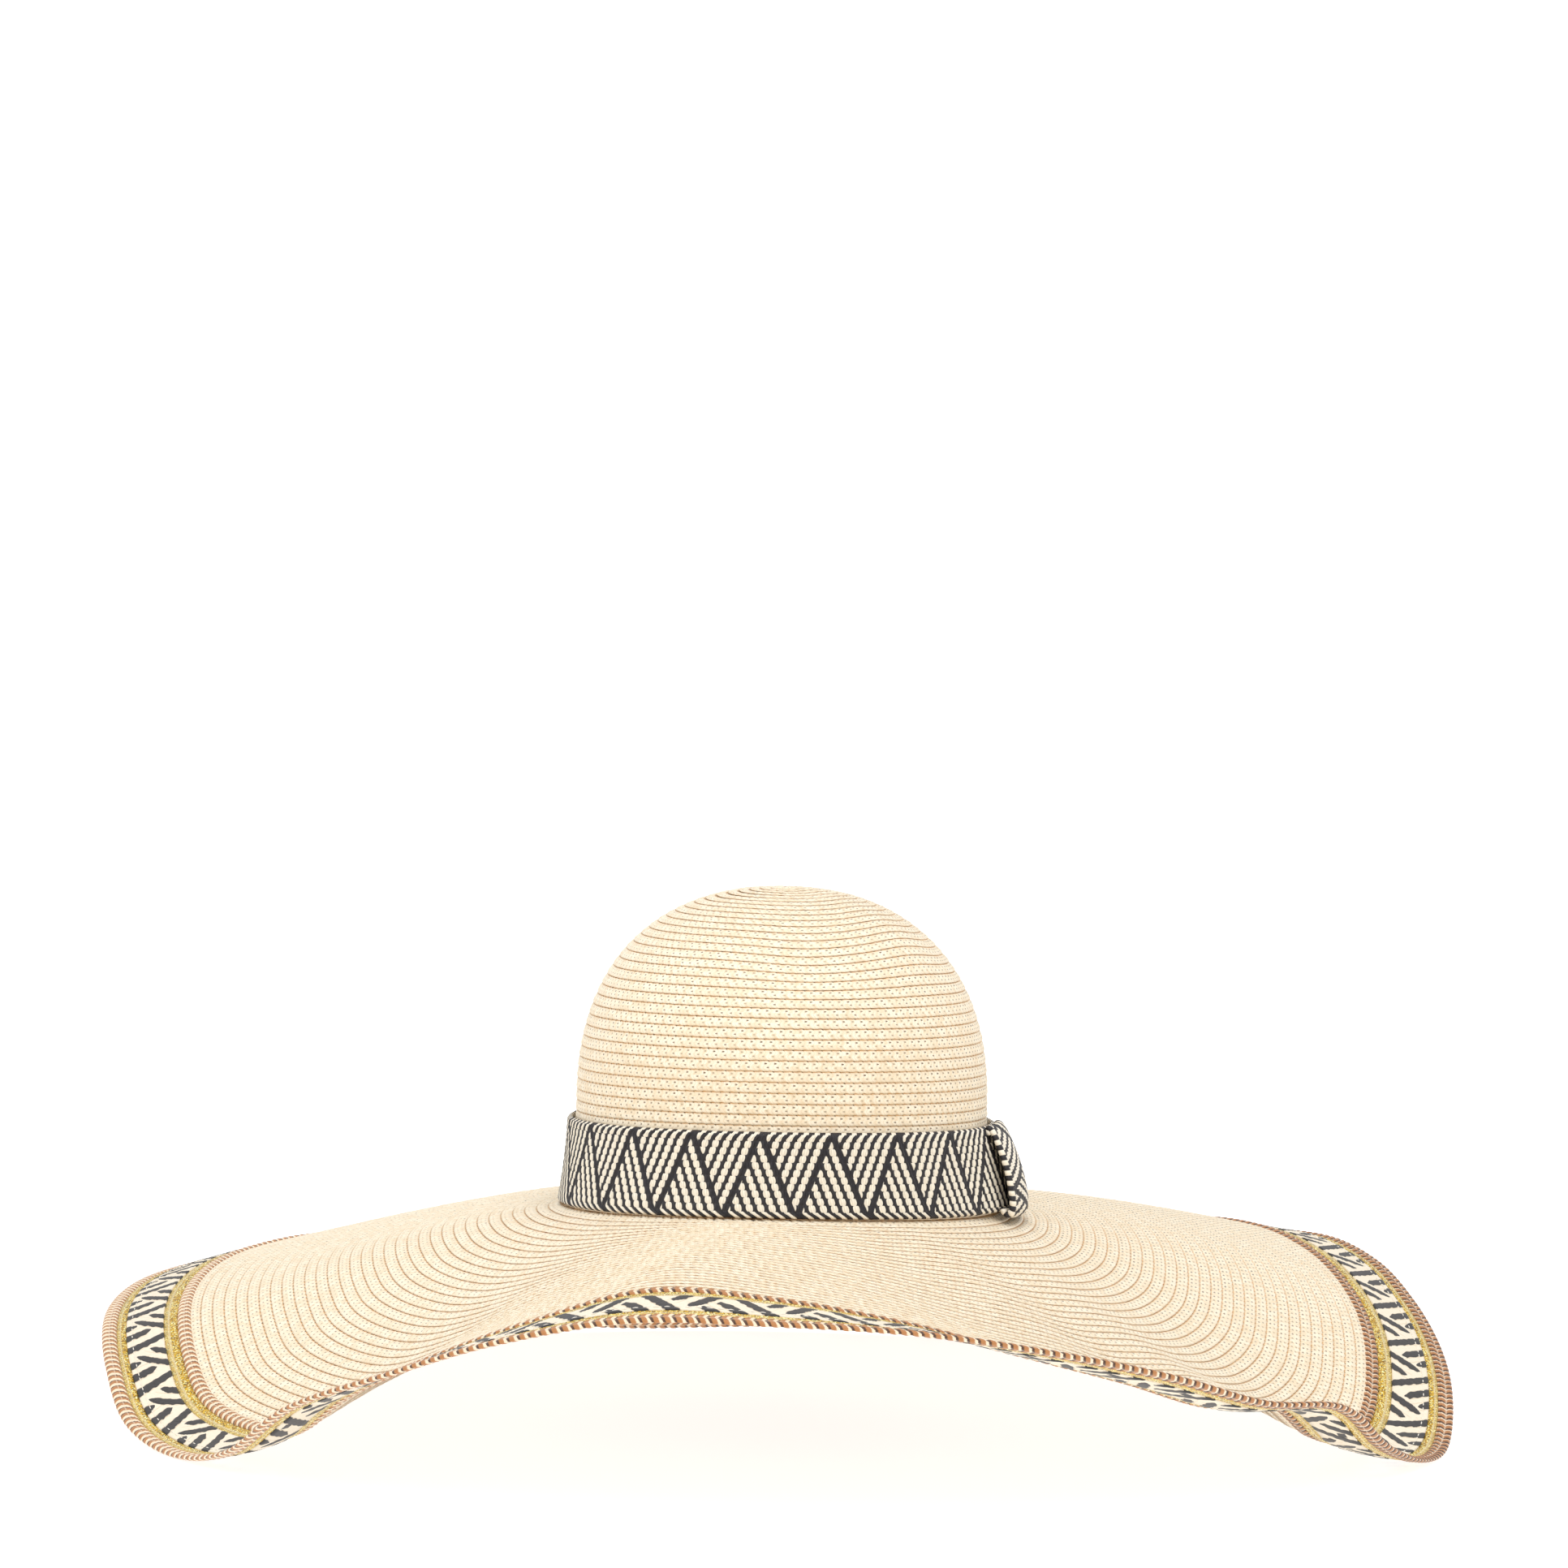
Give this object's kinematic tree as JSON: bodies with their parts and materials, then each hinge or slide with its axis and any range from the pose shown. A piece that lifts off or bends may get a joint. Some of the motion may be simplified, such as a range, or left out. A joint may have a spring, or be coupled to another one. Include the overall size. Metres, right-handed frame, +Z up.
{
  "type": "floppy sun hat",
  "caption": "Floppy straw sun hat with a domed crown, a very wide waved brim, a zigzag hat band and a trimmed edge.",
  "frame": {"origin": "centre of the hat's outline seen from above, at the height of the surface that the brim lies on", "axes": "+Z up, front of the hat towards -Y, the wearer's left towards +X"},
  "size_m": [0.5648, 0.609, 0.226],
  "materials": {
    "straw": "lapped and stitched paper straw braid, matt with a faint sheen",
    "band_weave": "black and cream woven band",
    "tan_braid": "satin tan cord braid",
    "gold_braid": "glittering gold yarn braid",
    "zigzag_weave": "cream braid with dark slanting bars"
  },
  "bodies": {
    "root": {"crown": "straw", "brim": "straw", "hat_band": "band_weave", "band_loop": "band_weave", "inner_tan_braid": "tan_braid", "inner_gold_braid": "gold_braid", "zigzag_braid": "zigzag_weave", "outer_gold_braid": "gold_braid", "outer_tan_braid": "tan_braid"}
  },
  "joints": []
}
